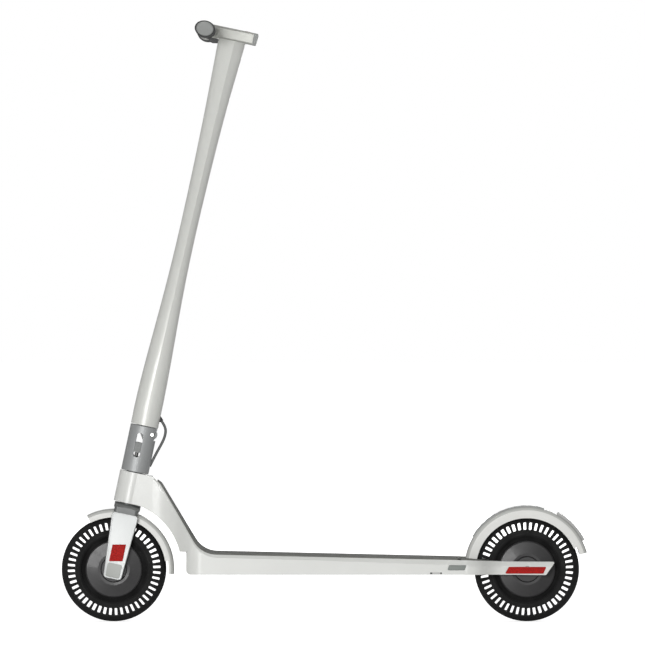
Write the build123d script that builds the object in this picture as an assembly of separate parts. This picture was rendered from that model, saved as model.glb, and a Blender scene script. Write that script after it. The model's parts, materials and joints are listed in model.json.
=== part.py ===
from build123d import *
import math
import os

# Electric kick scooter. Millimetres, +Z up, forward is -X, the rider's left is -Y.
# The origin is on the ground, midway between the two ends.
# Parts that turn with the fork are drawn in the steering frame: its x is p (square to the
# steering axis, towards the rear), its z is a (up along the axis), from the front axle.

# wheels
TYRE_R = 95.25
TYRE_HALF = 23.0
TREAD_FLAT_HALF = 12.0
RIM_R = 61.0
RIM_HALF = 21.0
RIM_LIP = 1.6
HUB_DISC_R = 51.6
HUB_CAP_R = 23.3
HUB_CAP_FACE = 28.6
SLOT_COUNT = 48
SLOT_INNER_R = 71.0
SLOT_OUTER_R = 85.2
SLOT_WIDTH = 5.8
SLOT_START_DEG = 2.6
AXLE_R = 6.0
AXLE_STUB_R = 4.0
AXLE_SHOULDER = 31.5
AXLE_END = 42.0
NUT_R = 6.4
NUT_INNER = 38.0
NUT_POCKET_R = 6.7
BEARING_R = 11.0
RUNNING_GAP = 0.05

FRONT_AXLE = (-382.5, TYRE_R)
REAR_AXLE = (370.9, TYRE_R)

# steering frame
RAKE_DEG = 12.0
RAKE = math.radians(RAKE_DEG)
STEER = Location(Plane(
    origin=(FRONT_AXLE[0], 0, FRONT_AXLE[1]),
    x_dir=(math.cos(RAKE), 0, -math.sin(RAKE)),
    z_dir=(math.sin(RAKE), 0, math.cos(RAKE)),
))

# deck and neck
DECK_HALF = 75.0
DECK_BOTTOM = 87.0
DECK_FRONT_X = -250.0
DECK_TOP_FRONT = (-220.8, 126.9)
DECK_TOP_REAR = (262.0, 116.0)
ARM_TOP_FRONT = (328.0, 109.9)
ARM_TIP_TOP = (421.8, 109.4)
ARM_TIP_BOTTOM = (405.1, 85.4)
ARM_BOTTOM_START_X = 250.0
NECK_BEND_R = 46.0
NECK_HALF = 26.0
NECK_EDGE_A = 180.0
NECK_EDGE_P = 38.4
NECK_SHOULDER = (-294.5, 251.5)
FLARE_START_X = -312.0
FLARE_END_X = -222.0
TAPER_START_X = 262.0
TAPER_END_X = 328.0
ARM_OUTER = 45.0
ARM_INNER = 32.0
WHEEL_SLOT_X = 254.0
WHEEL_ARCH_R = 124.8
MAT_THICK = 3.0
MAT_INSET = 5.5
MAT_FRONT_X = -307.0
MAT_REAR_X = 254.0

# head tube
HEAD_R = 26.8
HEAD_BOTTOM_A = 123.0
HEAD_TOP_A = 180.0
STEERER_R = 15.0
HEAD_BORE_R = 17.5
HEAD_BEARING_R = 21.0
HEAD_BEARING_H = 9.0

# battery bay under the deck
BAY_FRONT_X = -228.0
BAY_REAR_X = 214.0
BAY_HALF = 70.0
BAY_LIP_TOP = 97.0
BAY_WALL = 4.5
COVER_THICK = 2.5
COVER_HALF = 68.0
COVER_MARGIN = 2.0
MOUTH_HALF = 62.0
MOUTH_MARGIN = 6.0
COVER_SCREW_XS = (-215.0, 0.0, 106.0, 201.0)
COVER_SCREW_Y = 65.0

# kickstand
STAND_LEAN_DEG = 15.0
STAND_LEAN = math.radians(STAND_LEAN_DEG)
STAND_PIVOT = (-140.0, -59.5, 96.4)
STAND_LENGTH = 95.0
STAND_CHANNEL_HALF = 9.6
STAND_PIN_R = 3.0
STAND_CHANNEL_TOP = 8.2
STAND_CHANNEL_WALL = 2.0
STAND = Location(Plane(
    origin=STAND_PIVOT,
    x_dir=(1, 0, 0),
    z_dir=(0, math.sin(STAND_LEAN), math.cos(STAND_LEAN)),
))

# charge port on the left side of the deck
PORT_LOW_Z = 95.4
PORT_HIGH_Z = 104.4
PORT_X = (225.2, 256.5)
PORT_SKEW = 3.1
PORT_FLAP_THICK = 1.5
PORT_GAP = 0.4
SOCKET_SIZE = 8.4
SOCKET_BORE_R = 3.0
SOCKET_DEPTH = 10.0
SOCKET_LENGTH = 16.0

# fork
LEG_INNER = 31.5
LEG_OUTER = 45.0
LEG_TOP_A = 104.0
LEG_BOTTOM_A = -17.0
LEG_TOP_HALF = 24.5
LEG_BOTTOM_P = (-15.6, 17.0)
LEG_RIM = 2.8
LEG_RECESS = 1.4
CROWN_HALF_P = 22.0
CROWN_LOW_A = 104.0
CROWN_TOP_A = 121.5
CROWN_SPHERE_R = 123.0
CROWN_HUB_R = 24.0
AXLE_COVER_A = (-14.0, 11.0)
AXLE_COVER_HALF = 13.0

# fenders
FENDER_HALF = 28.0
FENDER_WALL = 2.5
FENDER_CORNER_R = 8.0
FRONT_FENDER_R = 109.5
FRONT_FENDER_SKIRT_R = 94.5
FRONT_FENDER_DEG = (-4.7, 116.5)
REAR_FENDER_R = 113.5
REAR_FENDER_SKIRT_R = 93.0
REAR_FENDER_DEG = (15.5, 169.5)
FOOT_PAD_DEG = (74.0, 149.0)
FOOT_PAD_THICK = 1.8
LAMP_DEG = (27.0, 61.0)
LAMP_HEIGHT = 4.8
LAMP_LENS_HALF = 15.0
BRAKE_PAD_DEG = (92.0, 106.0)
BRAKE_PAD_R = 98.6
FENDER_PIVOT = (266.0, 106.0)
FENDER_PIN_R = 2.5
FENDER_PIN_HALF = 38.0
FENDER_LUG_R = 6.0

# folding joint
COLLAR_R = 25.4
COLLAR_A = (181.5, 266.5)
COLLAR_FLOOR_A = 207.0
COLLAR_BORE_R = 21.4
STEERER_TOP_A = 203.0
WINDOW_A = (208.5, 252.9)
WINDOW_P = -3.5
WINDOW_WIDTH = 12.5
SLIDER_A = (217.4, 235.5)
NOTCH_HALF = 13.0
NOTCH_LOW_A = 243.5
HINGE_A = 254.0
HINGE_P = 17.0
HINGE_PIN_R = 4.0
HINGE_PIN_HALF = 18.4
KNUCKLE_HALF = 11.0
KNUCKLE_EYE_R = 9.5
GUIDE_ROD_R = 1.8

# stem: height along the axis, front edge, rear edge, half width, and how sharp the side edge is
STEM_STATIONS = (
    (268.0, -25.4, 25.4, 25.4, 0.0),
    (340.0, -24.8, 25.0, 25.0, 0.0),
    (440.0, -19.8, 21.8, 23.6, 0.25),
    (540.0, -14.7, 19.0, 22.6, 0.55),
    (650.0, -11.8, 19.3, 22.4, 0.85),
    (760.0, -11.2, 22.2, 23.4, 1.0),
    (870.0, -12.2, 27.2, 24.6, 1.0),
    (987.5, -14.7, 35.4, 26.2, 1.0),
)
STEM_WALL = 2.4
CIRCLE_KAPPA = 0.5523

# handlebar
BAR_A = 994.5
BAR_P = -39.0
BAR_R = 9.5
BAR_WALL = 2.0
BAR_INNER_END = 13.0
POD_HALF = 27.0
POD_TOP_A = 1009.2
POD_LOW_A = 987.5
POD_CHIN_A = 983.0
POD_FLOOR_A = 991.0
POD_FRONT_P = -50.0
POD_REAR_P = 55.9
POD_CAP_P = 47.5
LENS_THICK = 3.0
LAMP_A = 996.0
ARM_END_Y = 85.6
LEVER_Y = (86.0, 96.4)
LEVER_REACH_Y = 74.0
GRIP_Y = (96.8, 205.0)
GRIP_HALF_P = 18.7
GRIP_HALF_A = 14.6
GRIP_CAP_HALF_P = 15.7
GRIP_CAP_HALF_A = 13.0
GRIP_CAP_THICK = 5.0
LEVER_RING_R = 14.2

# fold cable, from the gland on the stem to the collar, as (p, a) points
CABLE_R = 2.5
CABLE_POINTS = (
    (29.0, 281.6),
    (35.6, 275.4),
    (40.2, 266.4),
    (40.3, 253.0),
    (36.4, 238.0),
    (31.4, 222.0),
    (27.6, 207.8),
    (24.6, 196.4),
)


def save(node, shape):
    """Write one node."""
    export_step(shape, f"parts/{node}.step")


def box(x, y, z):
    """A box from its three ranges."""
    return Pos(x[0], y[0], z[0]) * Box(
        x[1] - x[0], y[1] - y[0], z[1] - z[0], align=(Align.MIN, Align.MIN, Align.MIN))


def rod_y(centre, radius, y0, y1):
    """A cylinder along Y between y0 and y1, through centre (x, z)."""
    turned = Location((centre[0], (y0 + y1) / 2, centre[1]), (90, 0, 0))
    return turned * Cylinder(radius, abs(y1 - y0))


def both_sides(part):
    """The part and its mirror image across the middle plane."""
    return part + mirror(part, about=Plane.XZ)


def pair(part):
    """The part and its mirror image as two separate solids."""
    return Compound(children=[part.solid(), mirror(part, about=Plane.XZ).solid()])


def group(parts):
    """Separate solids kept in one node."""
    return Compound(children=[part.solid() for part in parts])


def plate_y(face, y0, y1):
    """An outline drawn in (x, z), made into a plate from y0 to y1."""
    return Pos(0, y1, 0) * extrude(Plane.XZ * face, amount=y1 - y0)


def outline(points, radii=0.0):
    """A closed face through points, with rounded corners."""
    if isinstance(radii, float) and radii == 0.0:
        return make_face(Polyline(*points, close=True))
    return make_face(FilletPolyline(*points, radius=radii, close=True))


def wheel_plane(axle, degrees):
    """A plane through an axle: local x is the radius at that angle, local y is world Y."""
    angle = math.radians(degrees)
    return Plane(
        origin=(axle[0], 0, axle[1]),
        x_dir=(math.cos(angle), 0, math.sin(angle)),
        z_dir=(-math.sin(angle), 0, math.cos(angle)),
    )


def turned(face, axle, start=0.0, end=360.0):
    """A section (radius, y) turned about an axle from one angle to another."""
    axis = Axis((axle[0], 0, axle[1]), (0, -1, 0))
    return revolve(wheel_plane(axle, start) * face, axis=axis, revolution_arc=end - start)


def rect(r0, r1, y0, y1):
    """A rectangular section (radius, y)."""
    return Pos((r0 + r1) / 2, (y0 + y1) / 2) * Rectangle(r1 - r0, y1 - y0)


def steer_point(p, a):
    """Global (x, z) of a point in the steering frame."""
    x = FRONT_AXLE[0] + a * math.sin(RAKE) + p * math.cos(RAKE)
    z = FRONT_AXLE[1] + a * math.cos(RAKE) - p * math.sin(RAKE)
    return (x, z)


# ---------------------------------------------------------------- wheels


def tyre(axle):
    """Solid rubber tyre with a ring of slots through both sidewalls."""
    section = outline([
        (RIM_R, -RIM_HALF), (RIM_R + 2.0, -RIM_HALF - 1.4), (66.0, -TYRE_HALF + 0.6), (68.5, -TYRE_HALF),
        (86.0, -TYRE_HALF), (91.5, -19.6), (TYRE_R, -TREAD_FLAT_HALF),
        (TYRE_R, TREAD_FLAT_HALF), (91.5, 19.6), (86.0, TYRE_HALF),
        (68.5, TYRE_HALF), (66.0, TYRE_HALF - 0.6), (RIM_R + 2.0, RIM_HALF + 1.4), (RIM_R, RIM_HALF),
    ])
    body = turned(section, axle)
    slot = extrude(
        Pos((SLOT_INNER_R + SLOT_OUTER_R) / 2, 0)
        * RectangleRounded(SLOT_OUTER_R - SLOT_INNER_R, SLOT_WIDTH, 1.6),
        amount=TYRE_HALF + 2.0, both=True)
    upright = Location((axle[0], 0, axle[1]), (90, 0, 0))
    pitch = 360.0 / SLOT_COUNT
    slots = [upright * Rot(0, 0, SLOT_START_DEG + pitch * step) * slot for step in range(SLOT_COUNT)]
    return body - slots


def hub_shell(axle):
    """Aluminium motor rim, with a lip on each side that holds the tyre."""
    section = outline([
        (48.0, -16.0), (RIM_R - RIM_LIP, -16.0), (RIM_R - RIM_LIP, -RIM_HALF), (RIM_R, -RIM_HALF),
        (RIM_R, RIM_HALF), (RIM_R - RIM_LIP, RIM_HALF), (RIM_R - RIM_LIP, 16.0), (48.0, 16.0),
    ])
    return turned(section, axle)


def hub_cover(axle):
    """One dished motor cover with a raised centre cap and the bearing seat inside."""
    section = outline([
        (BEARING_R, 12.5), (16.0, 12.5), (16.0, 16.0), (HUB_DISC_R, 16.0), (HUB_DISC_R, 20.4),
        (HUB_DISC_R - 2.2, 22.0), (29.0, 24.6), (HUB_CAP_R + 0.8, 24.4), (HUB_CAP_R, 25.6),
        (HUB_CAP_R - 1.2, HUB_CAP_FACE), (9.0, HUB_CAP_FACE), (9.0, 19.6), (BEARING_R, 19.6),
    ])
    return turned(section, axle)


def wheel_bearing(axle):
    """One ball bearing as a ring that runs on the axle."""
    return turned(rect(AXLE_R + RUNNING_GAP, BEARING_R, 12.6, 19.6), axle)


def stator(axle):
    """Wound motor core: a toothed ring with its hub pressed on the axle."""
    core = turned(rect(AXLE_R, 34.0, -10.0, 10.0), axle)
    tooth = plate_y(Pos(axle[0] + 39.0, axle[1]) * Rectangle(13.0, 4.6), -10.0, 10.0)
    shoe = plate_y(Pos(axle[0] + 46.6, axle[1]) * Rectangle(2.2, 8.4), -10.0, 10.0)
    spin = Axis((axle[0], 0, axle[1]), (0, 1, 0))
    teeth = [(tooth + shoe).rotate(spin, 360.0 / 27 * step) for step in range(27)]
    return core + teeth


def axle_shaft(axle):
    """Fixed axle with two reduced ends."""
    shaft = rod_y(axle, AXLE_R, -AXLE_SHOULDER, AXLE_SHOULDER)
    return shaft + rod_y(axle, AXLE_STUB_R, -AXLE_END, AXLE_END)


def axle_nut(axle):
    """One round axle nut with two spanner flats."""
    nut = rod_y(axle, NUT_R, NUT_INNER, NUT_INNER + 5.4) - rod_y(axle, AXLE_STUB_R, NUT_INNER, AXLE_END)
    flat = box((axle[0] - 8, axle[0] + 8), (NUT_INNER + 2.4, NUT_INNER + 6), (axle[1] + 5.6, axle[1] + 8))
    return nut - flat - mirror(flat, about=Plane((0, 0, axle[1]), z_dir=(0, 0, 1)))


def wheel(end, axle):
    """All nodes of one driven wheel."""
    save(f"{end}_tyre", tyre(axle))
    save(f"{end}_hub_shell", hub_shell(axle))
    save(f"{end}_hub_covers", pair(hub_cover(axle)))
    save(f"{end}_wheel_bearings", pair(wheel_bearing(axle)))
    save(f"{end}_motor_stator", stator(axle))
    save(f"{end}_axle", axle_shaft(axle))
    save(f"{end}_axle_nuts", pair(axle_nut(axle)))


# ---------------------------------------------------------------- deck


def frame_side(lower=0.0):
    """Side outline of neck, deck and rear arms; lower drops the top line for the mat to sit on."""
    slope = math.atan2(DECK_TOP_FRONT[1] - DECK_TOP_REAR[1], DECK_TOP_REAR[0] - DECK_TOP_FRONT[0])
    neck_run = (DECK_TOP_FRONT[0] - NECK_SHOULDER[0], NECK_SHOULDER[1] - DECK_TOP_FRONT[1])
    neck_angle = math.atan2(neck_run[1], neck_run[0])
    half_turn = (neck_angle - slope) / 2
    shift = lower / math.cos(half_turn)
    middle = (neck_angle + slope) / 2
    bend = (DECK_TOP_FRONT[0] - shift * math.sin(middle), DECK_TOP_FRONT[1] - shift * math.cos(middle))
    drop = (-lower * math.sin(neck_angle), -lower * math.cos(neck_angle))
    shoulder = (NECK_SHOULDER[0] + drop[0], NECK_SHOULDER[1] + drop[1])
    crest = steer_point(NECK_EDGE_P - lower, NECK_EDGE_A)
    head_top = steer_point(0, NECK_EDGE_A)
    head_low = steer_point(0, HEAD_BOTTOM_A)
    arch_p = math.sqrt(WHEEL_ARCH_R ** 2 - HEAD_BOTTOM_A ** 2)
    arch_top = steer_point(arch_p, HEAD_BOTTOM_A)
    arch_end_deg = math.degrees(math.asin((128.1 - FRONT_AXLE[1]) / WHEEL_ARCH_R))
    arch_end = (FRONT_AXLE[0] + WHEEL_ARCH_R * math.cos(math.radians(arch_end_deg)), 128.1)
    arch_start_deg = math.degrees(math.atan2(arch_top[1] - FRONT_AXLE[1], arch_top[0] - FRONT_AXLE[0]))
    deck_rear = (DECK_TOP_REAR[0], DECK_TOP_REAR[1] - lower)
    upper = FilletPolyline(
        head_top, crest, shoulder, bend, deck_rear, ARM_TOP_FRONT, ARM_TIP_TOP, ARM_TIP_BOTTOM,
        (ARM_BOTTOM_START_X, DECK_BOTTOM), (DECK_FRONT_X, DECK_BOTTOM), (DECK_FRONT_X, 128.1), arch_end,
        radius=[0.0, 20.0, NECK_BEND_R + lower, 0.0, 0.0, 2.0, 2.0, 60.0, 8.0, 2.0])
    arch = CenterArc(FRONT_AXLE, WHEEL_ARCH_R, arch_end_deg, arch_start_deg - arch_end_deg)
    closing = Polyline(arch_top, head_low, head_top)
    return make_face([*upper.edges(), arch, *closing.edges()])


def frame_plan(inset=0.0):
    """Plan outline of neck, deck and rear arms, half widths moved in by inset."""
    neck = NECK_HALF - inset
    deck = DECK_HALF - inset
    arm = ARM_OUTER - inset
    front_x = FRONT_AXLE[0] + 8.0
    tip_x = ARM_TIP_TOP[0] + 6.0
    flare_mid = FLARE_START_X + 0.62 * (FLARE_END_X - FLARE_START_X)
    taper_mid = (TAPER_START_X + TAPER_END_X) / 2
    halves = []
    for side in (1, -1):
        halves += [
            Line((front_x, side * neck), (FLARE_START_X, side * neck)),
            Bezier((FLARE_START_X, side * neck), (flare_mid, side * neck),
                   (flare_mid, side * deck), (FLARE_END_X, side * deck)),
            Line((FLARE_END_X, side * deck), (TAPER_START_X, side * deck)),
            Bezier((TAPER_START_X, side * deck), (taper_mid, side * deck),
                   (taper_mid, side * arm), (TAPER_END_X, side * arm)),
            Line((TAPER_END_X, side * arm), (tip_x, side * arm)),
        ]
    ends = [Line((front_x, -neck), (front_x, neck)), Line((tip_x, -arm), (tip_x, arm))]
    return make_face([*halves, *ends])


def port_outline(gap=0.0):
    """The slanted outline of the charge port."""
    low, high = PORT_LOW_Z - gap, PORT_HIGH_Z + gap
    return outline([
        (PORT_X[0] - gap, low), (PORT_X[1] + gap, low),
        (PORT_X[1] + PORT_SKEW + gap, high), (PORT_X[0] + PORT_SKEW - gap, high)], 1.2)


def socket_centre():
    """Centre (x, z) of the charge socket."""
    return ((PORT_X[0] + PORT_X[1] + PORT_SKEW) / 2, (PORT_LOW_Z + PORT_HIGH_Z) / 2)


def socket_outline():
    """The squared outline of the charge socket's housing."""
    return Pos(*socket_centre()) * RectangleRounded(SOCKET_SIZE, SOCKET_SIZE, 1.0)


def rear_reflector_face(gap=0.0):
    """Slanted outline of the reflector on a rear arm."""
    return outline([
        (330.2 - gap, 88.0 - gap), (400.2 + gap, 88.0 - gap),
        (405.7 + gap, 100.3 + gap), (337.5 - gap, 100.3 + gap)], 1.5)


def stand_channel(grow=0.0):
    """The space that the folded kickstand lies in, in the kickstand's own frame."""
    return STAND * box(
        (-13.0 - grow, STAND_LENGTH + 8.0 + grow),
        (-STAND_CHANNEL_HALF - grow, STAND_CHANNEL_HALF + grow),
        (-24.0, STAND_CHANNEL_TOP + grow))


def frame_shell():
    """Outside of the frame before it is hollowed."""
    wide = 2 * DECK_HALF
    side = plate_y(frame_side(MAT_THICK), -wide, wide)
    plan = extrude(frame_plan(), amount=400.0)
    shell = side & plan
    return shell + STEER * (Pos(0, 0, HEAD_BOTTOM_A) * Cylinder(
        HEAD_R, HEAD_TOP_A - HEAD_BOTTOM_A, align=(Align.CENTER, Align.CENTER, Align.MIN)))


def frame_bay():
    """Battery bay inside the deck, with its mouth underneath."""
    low = DECK_BOTTOM - 1.0
    slope = (DECK_TOP_FRONT[1] - DECK_TOP_REAR[1]) / (DECK_TOP_REAR[0] - DECK_TOP_FRONT[0])
    roof_front = DECK_TOP_FRONT[1] - MAT_THICK - BAY_WALL
    roof_rear = roof_front - slope * (BAY_REAR_X - DECK_TOP_FRONT[0])
    side = outline([
        (BAY_FRONT_X, BAY_LIP_TOP), (BAY_REAR_X, BAY_LIP_TOP),
        (BAY_REAR_X, roof_rear), (DECK_TOP_FRONT[0] + 4.0, roof_front), (BAY_FRONT_X, roof_front + 6.0)])
    space = plate_y(side, -BAY_HALF, BAY_HALF) & extrude(frame_plan(BAY_WALL), amount=400.0)
    mouth = box((BAY_FRONT_X + MOUTH_MARGIN, BAY_REAR_X - MOUTH_MARGIN), (-MOUTH_HALF, MOUTH_HALF),
                (low, BAY_LIP_TOP + 1.0))
    seat = box((BAY_FRONT_X - COVER_MARGIN, BAY_REAR_X + COVER_MARGIN), (-COVER_HALF, COVER_HALF),
               (low, DECK_BOTTOM + COVER_THICK))
    return space + mouth + seat


def neck_hollow():
    """Wiring space inside the neck."""
    points = [
        (-294.0, 222.0), (-288.0, 222.0), (-246.0, 153.0), (-238.0, 138.0), (-226.0, 118.0),
        (-226.0, 104.0), (-243.0, 104.0), (-243.0, 132.0), (-272.0, 178.0)]
    narrow = plate_y(outline(points, 3.0), -30.0, 30.0)
    return narrow & extrude(frame_plan(6.0), amount=400.0)


def wheel_slot():
    """Open slot for the rear wheel, between the arms."""
    length = ARM_TIP_TOP[0] + 20.0 - WHEEL_SLOT_X
    face = Pos(WHEEL_SLOT_X + length / 2, 0) * RectangleRounded(length, 2 * ARM_INNER, 10.0)
    return extrude(face, amount=400.0)


def frame_bores():
    """Bearing seats, axle holes, hinge pin holes and the charge port."""
    cuts = [STEER * (Pos(0, 0, HEAD_BOTTOM_A + 28.5) * Cylinder(HEAD_BORE_R, 80.0))]
    seat = Cylinder(HEAD_BEARING_R, HEAD_BEARING_H, align=(Align.CENTER, Align.CENTER, Align.MIN))
    cuts.append(STEER * (Pos(0, 0, HEAD_BOTTOM_A) * seat))
    cuts.append(STEER * (Pos(0, 0, HEAD_TOP_A - HEAD_BEARING_H) * seat))
    cuts.append(rod_y(REAR_AXLE, AXLE_STUB_R, -ARM_OUTER, ARM_OUTER))
    cuts.append(both_sides(rod_y(REAR_AXLE, NUT_POCKET_R, NUT_INNER, ARM_OUTER + 1.0)))
    cuts.append(both_sides(plate_y(rear_reflector_face(0.15), ARM_OUTER - 1.6, ARM_OUTER + 3.0)))
    cuts.append(rod_y(FENDER_PIVOT, FENDER_PIN_R, -FENDER_PIN_HALF, FENDER_PIN_HALF))
    cuts.append(plate_y(port_outline(PORT_GAP), -DECK_HALF - 1.0, -DECK_HALF + PORT_FLAP_THICK + PORT_GAP))
    cuts.append(plate_y(socket_outline(), -DECK_HALF - 1.0, -DECK_HALF + 3.0 + SOCKET_LENGTH))
    return cuts


def deck_frame():
    """Cast frame in one piece: head tube, neck, deck box and rear arms."""
    frame = frame_shell() - frame_bay() - neck_hollow() - wheel_slot() - frame_bores()
    frame = frame - stand_channel(STAND_CHANNEL_WALL + 0.2)
    for x in COVER_SCREW_XS:
        for side in (1, -1):
            frame = frame - Pos(x, side * COVER_SCREW_Y, BAY_LIP_TOP - 4.0) * Cylinder(1.5, 8.0)
    return frame


def deck_mat():
    """Rubber mat that lies on the deck and climbs the neck."""
    band = plate_y(frame_side() - frame_side(MAT_THICK), -DECK_HALF, DECK_HALF)
    strip = band & extrude(frame_plan(MAT_INSET), amount=400.0)
    return strip & box((MAT_FRONT_X, MAT_REAR_X), (-DECK_HALF, DECK_HALF), (110.0, 300.0))


def bottom_cover():
    """Cover of the battery bay, with the moulded channel for the kickstand."""
    plate = box((BAY_FRONT_X - COVER_MARGIN + 0.3, BAY_REAR_X + COVER_MARGIN - 0.3),
                (-COVER_HALF + 0.3, COVER_HALF - 0.3), (DECK_BOTTOM, DECK_BOTTOM + COVER_THICK))
    above = box((BAY_FRONT_X, BAY_REAR_X), (-BAY_HALF, BAY_HALF), (DECK_BOTTOM, 150.0))
    cover = plate + (stand_channel(STAND_CHANNEL_WALL) & above) - stand_channel()
    for x in COVER_SCREW_XS:
        for side in (1, -1):
            cover = cover - Pos(x, side * COVER_SCREW_Y, DECK_BOTTOM) * Cylinder(1.6, 8.0)
            cover = cover - Pos(x, side * COVER_SCREW_Y, DECK_BOTTOM) * Cylinder(2.8, 3.0)
    return cover


def cover_screw(x, y):
    """One countersunk cover screw, head flush with the cover."""
    head = Pos(x, y, DECK_BOTTOM + 0.75) * Cylinder(2.8, 1.5)
    socket = Pos(x, y, DECK_BOTTOM) * extrude(RegularPolygon(1.2, 6), amount=1.0)
    shank = Pos(x, y, DECK_BOTTOM + 4.5) * Cylinder(1.5, 8.0)
    return head + shank - socket


def battery_pack():
    """Wrapped pack of cells along the deck."""
    pack = box((-196.0, 96.0), (-43.0, 43.0), (DECK_BOTTOM + 4.0, DECK_BOTTOM + 22.0))
    return fillet(pack.edges().filter_by(Axis.X), 5.0)


def motor_controller():
    """Finned controller box behind the battery."""
    case = box((112.0, 196.0), (-34.0, 34.0), (DECK_BOTTOM + 4.0, DECK_BOTTOM + 21.0))
    case = fillet(case.edges().filter_by(Axis.Z), 3.0)
    grooves = [box((118.0 + 8.0 * step, 121.0 + 8.0 * step), (-40.0, 40.0),
                   (DECK_BOTTOM + 18.0, DECK_BOTTOM + 24.0)) for step in range(9)]
    return case - grooves


def charge_socket():
    """Charge socket in a squared housing behind the flap, with its round bore open to the left."""
    face_y = -DECK_HALF + PORT_FLAP_THICK + PORT_GAP
    body = plate_y(socket_outline(), face_y, face_y + SOCKET_LENGTH)
    return body - rod_y(socket_centre(), SOCKET_BORE_R, face_y - 1.0, face_y + SOCKET_DEPTH)


def charge_port_flap():
    """Flap over the charge port, with a round hinge bead along its lower edge."""
    plate = plate_y(port_outline(), -DECK_HALF, -DECK_HALF + PORT_FLAP_THICK)
    bead_r = PORT_FLAP_THICK / 2
    corner = box((PORT_X[0] - 1.0, PORT_X[1] + 1.0), (-DECK_HALF, -DECK_HALF + PORT_FLAP_THICK),
                 (PORT_LOW_Z, PORT_LOW_Z + bead_r))
    bead = Location((sum(PORT_X) / 2, -DECK_HALF + bead_r, PORT_LOW_Z + bead_r), (0, 90, 0)) * Cylinder(
        bead_r, PORT_X[1] - PORT_X[0] - 2.4)
    return plate - corner + bead


def headset_bearing(a):
    """One headset bearing ring, seated in the head tube from height a."""
    ring = Cylinder(HEAD_BEARING_R, HEAD_BEARING_H, align=(Align.CENTER, Align.CENTER, Align.MIN))
    bore = Cylinder(STEERER_R + RUNNING_GAP, 3 * HEAD_BEARING_H)
    return STEER * (Pos(0, 0, a) * (ring - bore))


def headset_bearings():
    """The lower and the upper headset bearing."""
    return group([headset_bearing(HEAD_BOTTOM_A), headset_bearing(HEAD_TOP_A - HEAD_BEARING_H)])


def rear_reflector():
    """One slanted side reflector, which also hides the axle nut."""
    return plate_y(rear_reflector_face(), ARM_OUTER - 1.6, ARM_OUTER + 0.6)


def fender_pin():
    """Pin that the rear fender turns on."""
    return rod_y(FENDER_PIVOT, FENDER_PIN_R, -FENDER_PIN_HALF, FENDER_PIN_HALF)


def coil_spring(radius, wire, turns, pitch):
    """Round-wire coil along Z from the origin."""
    path = Helix(pitch=pitch, height=turns * pitch, radius=radius)
    section = Plane(origin=path @ 0, z_dir=path % 0) * Circle(wire)
    return sweep(section, path=path)


def fender_spring():
    """Return spring round the middle of the fender pin."""
    coil = coil_spring(4.2, 0.7, 9, 1.9)
    return Location((FENDER_PIVOT[0], 8.6, FENDER_PIVOT[1]), (90, 0, 0)) * coil


def kickstand_bracket():
    """Steel bracket with two cheeks and the pivot pin riveted through them."""
    back = box((-12.8, 8.0), (-STAND_CHANNEL_HALF, STAND_CHANNEL_HALF), (7.0, STAND_CHANNEL_TOP))
    cheek = box((-7.0, 7.0), (5.2, STAND_CHANNEL_HALF), (-6.0, 7.0))
    pin = rod_y((0, 0), STAND_PIN_R, -STAND_CHANNEL_HALF, STAND_CHANNEL_HALF)
    return STAND * (back + both_sides(cheek) + pin)


def kickstand_leg():
    """Cast leg with its eye at the front and a flat foot at the free end."""
    eye = rod_y((0, 0), 6.4, -5.0, 5.0)
    shank = outline([(0, -4.6), (STAND_LENGTH - 12.0, -3.6), (STAND_LENGTH - 2.0, -6.4),
                     (STAND_LENGTH, -5.4), (STAND_LENGTH, 4.4), (0, 4.6)], 0.8)
    leg = eye + plate_y(shank, -4.4, 4.4) - rod_y((0, 0), STAND_PIN_R + RUNNING_GAP, -12.0, 12.0)
    return STAND * leg


def save_frame():
    """All nodes of the frame."""
    save("deck_frame", deck_frame())
    save("deck_mat", deck_mat())
    save("bottom_cover", bottom_cover())
    screws = [cover_screw(x, side * COVER_SCREW_Y) for x in COVER_SCREW_XS for side in (1, -1)]
    save("bottom_cover_screws", group(screws))
    save("battery_pack", battery_pack())
    save("motor_controller", motor_controller())
    save("charge_socket", charge_socket())
    save("charge_port_flap", charge_port_flap())
    save("headset_bearings", headset_bearings())
    save("rear_side_reflectors", pair(rear_reflector()))
    save("rear_fender_pin", fender_pin())
    save("rear_fender_spring", fender_spring())
    save("kickstand_bracket", kickstand_bracket())
    save("kickstand_leg", kickstand_leg())


# ---------------------------------------------------------------- fenders


def fender_channel(axle, top_r, skirt_r, degrees):
    """U-shaped fender: a crown over the tread and a skirt on each side."""
    outer = outline([(skirt_r, -FENDER_HALF), (top_r, -FENDER_HALF), (top_r, FENDER_HALF),
                     (skirt_r, FENDER_HALF)], [0.6, FENDER_CORNER_R, FENDER_CORNER_R, 0.6])
    low, high, half = skirt_r - 5.0, top_r - FENDER_WALL, FENDER_HALF - FENDER_WALL
    inner_r = FENDER_CORNER_R - FENDER_WALL
    inner = outline([(low, -half), (high, -half), (high, half), (low, half)], [0, inner_r, inner_r, 0])
    return turned(outer - inner, axle, degrees[0], degrees[1])


def front_fender():
    """Front fender with the pad that fixes it under the fork crown."""
    shell = fender_channel(FRONT_AXLE, FRONT_FENDER_R, FRONT_FENDER_SKIRT_R, FRONT_FENDER_DEG)
    tail = turned(rect(80.0, 100.0, -40.0, 40.0), FRONT_AXLE, FRONT_FENDER_DEG[0] - 1.0, 9.0)
    pad = STEER * (box((-13.0, 13.0), (-11.0, 11.0), (107.5, 111.5))
                   & (box((-13.0, 13.0), (-11.0, 11.0), (100.0, 120.0)) - rod_y((0, 0), 108.0, -20.0, 20.0)))
    return shell - tail + pad


def fender_screw(p):
    """One screw from under the front fender up into the crown."""
    head = Pos(p, 0, 105.5) * Cylinder(3.2, 1.6)
    return STEER * (head + Pos(p, 0, 110.4) * Cylinder(1.9, 8.8))


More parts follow.
